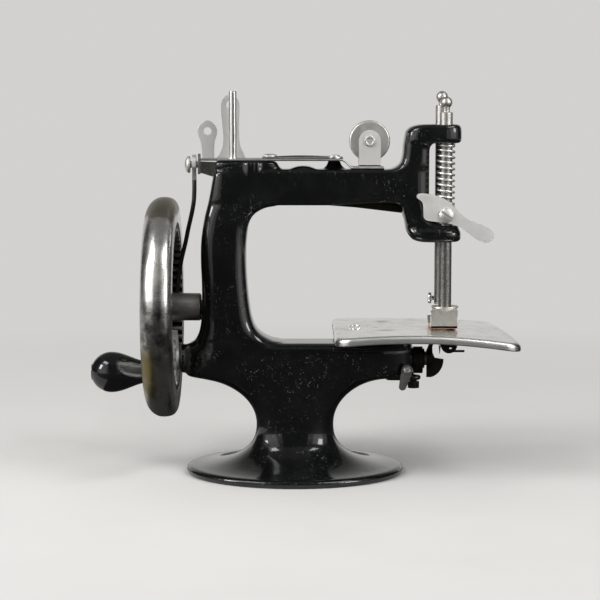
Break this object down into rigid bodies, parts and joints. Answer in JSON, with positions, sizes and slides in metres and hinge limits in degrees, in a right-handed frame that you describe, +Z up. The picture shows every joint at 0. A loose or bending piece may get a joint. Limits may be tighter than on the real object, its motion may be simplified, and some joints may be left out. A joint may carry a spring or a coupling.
{
  "type": "hand-cranked sewing machine",
  "caption": "Small antique hand-cranked chain-stitch sewing machine: black iron casting with oval foot, geared nickel hand wheel, rocking needle lever, presser with lifter.",
  "frame": {"origin": "centre of the foot's flat underside", "axes": "+X along the arm to the needle end, -Y to the machine's back, +Z up"},
  "size_m": [0.1829, 0.095, 0.165],
  "materials": {
    "casting": "gloss",
    "nickel_casting": "polished, worn",
    "nickel": "polished, worn",
    "nickel_sheet": "satin",
    "steel": "satin",
    "dark_steel": "oxidised",
    "black_wood": "gloss paint"
  },
  "bodies": {
    "base": {"frame": "casting", "wheel_stud": "steel", "wheel_screw": "nickel", "lever_pivot_screw": "steel", "top_plate": "nickel_sheet", "top_strip": "nickel_sheet", "top_plate_screws": "nickel", "spool_pin": "nickel", "tension_bracket": "nickel_sheet", "tension_pin": "nickel", "tension_screw": "nickel", "cloth_plate": "nickel_sheet", "cloth_plate_screws": "nickel", "feed_spring": "steel", "feed_spring_screw": "nickel"},
    "wheel": {"hand_wheel": "nickel_casting", "handle_screw": "steel"},
    "handle": {"crank_handle": "black_wood"},
    "shaft": {"looper_shaft": "steel", "pinion": "dark_steel", "crank_pin": "steel", "pinion_screw": "steel", "feed_cam": "dark_steel", "looper": "dark_steel", "looper_screw": "steel"},
    "lever": {"needle_lever": "steel", "rod_screw": "nickel"},
    "rod": {"connecting_rod": "dark_steel"},
    "needle_bar": {"needle_bar": "nickel", "needle_bar_stud": "steel", "needle": "nickel", "needle_clamp_screw": "steel"},
    "presser": {"presser_bar": "nickel", "presser_collar": "steel", "presser_foot": "nickel", "presser_foot_screw": "steel", "lifter_screw": "nickel", "presser_spring": "steel"},
    "lifter": {"lifter_lever": "nickel_sheet"},
    "tension": {"tension_wheel": "steel"},
    "feed": {"feed_bar": "dark_steel", "feed_dog": "steel"},
    "stitch_screw": {"stitch_screw": "dark_steel"}
  },
  "joints": [
    {"name": "wheel_spin", "type": "hinge", "parent": "base", "child": "wheel", "pos_m": [-0.055, 0, 0.0722], "axis": [1, 0, 0], "continuous": true},
    {"name": "shaft_spin", "type": "hinge", "parent": "base", "child": "shaft", "pos_m": [0, 0, 0.0497], "axis": [1, 0, 0], "continuous": true},
    {"name": "handle_spin", "type": "hinge", "parent": "wheel", "child": "handle", "pos_m": [-0.075, 0, 0.0437], "axis": [1, 0, 0], "continuous": true},
    {"name": "lever_swing", "type": "hinge", "parent": "base", "child": "lever", "pos_m": [0, 0.0007, 0.1205], "axis": [0, -1, 0], "range_deg": [0, 13.8]},
    {"name": "rod_swing", "type": "hinge", "parent": "lever", "child": "rod", "pos_m": [-0.04325, 0.0007, 0.13365], "axis": [0, -1, 0], "range_deg": [-12.6, 0]},
    {"name": "needle_bar_slide", "type": "slide", "parent": "base", "child": "needle_bar", "axis": [0, 0, 1], "range_m": [0, 0.0154]},
    {"name": "lifter_turn", "type": "hinge", "parent": "presser", "child": "lifter", "pos_m": [0.0645, -0.0099, 0.1125], "axis": [0, -1, 0], "range_deg": [0, 70]},
    {"name": "presser_slide", "type": "slide", "parent": "base", "child": "presser", "axis": [0, 0, 1], "range_m": [0, 0.0037], "deforming": ["presser_spring"]},
    {"name": "tension_spin", "type": "hinge", "parent": "base", "child": "tension", "pos_m": [0.032, 0, 0.1438], "axis": [0, 1, 0], "continuous": true},
    {"name": "feed_slide", "type": "slide", "parent": "base", "child": "feed", "axis": [0, 1, 0], "range_m": [-0.0009, 0.0009]},
    {"name": "stitch_screw_turn", "type": "hinge", "parent": "base", "child": "stitch_screw", "pos_m": [0.0515, 0, 0.039], "axis": [0, 0, 1], "continuous": true}
  ],
  "couplings": [
    {"joint": "shaft_spin", "follows": "wheel_spin", "ratio": 3},
    {"joint": "rod_swing", "follows": "lever_swing", "ratio": -0.9007},
    {"joint": "needle_bar_slide", "follows": "lever_swing", "m_per_rad": 0.06357},
    {"joint": "lifter_turn", "follows": "presser_slide", "rad_per_m": 330}
  ]
}
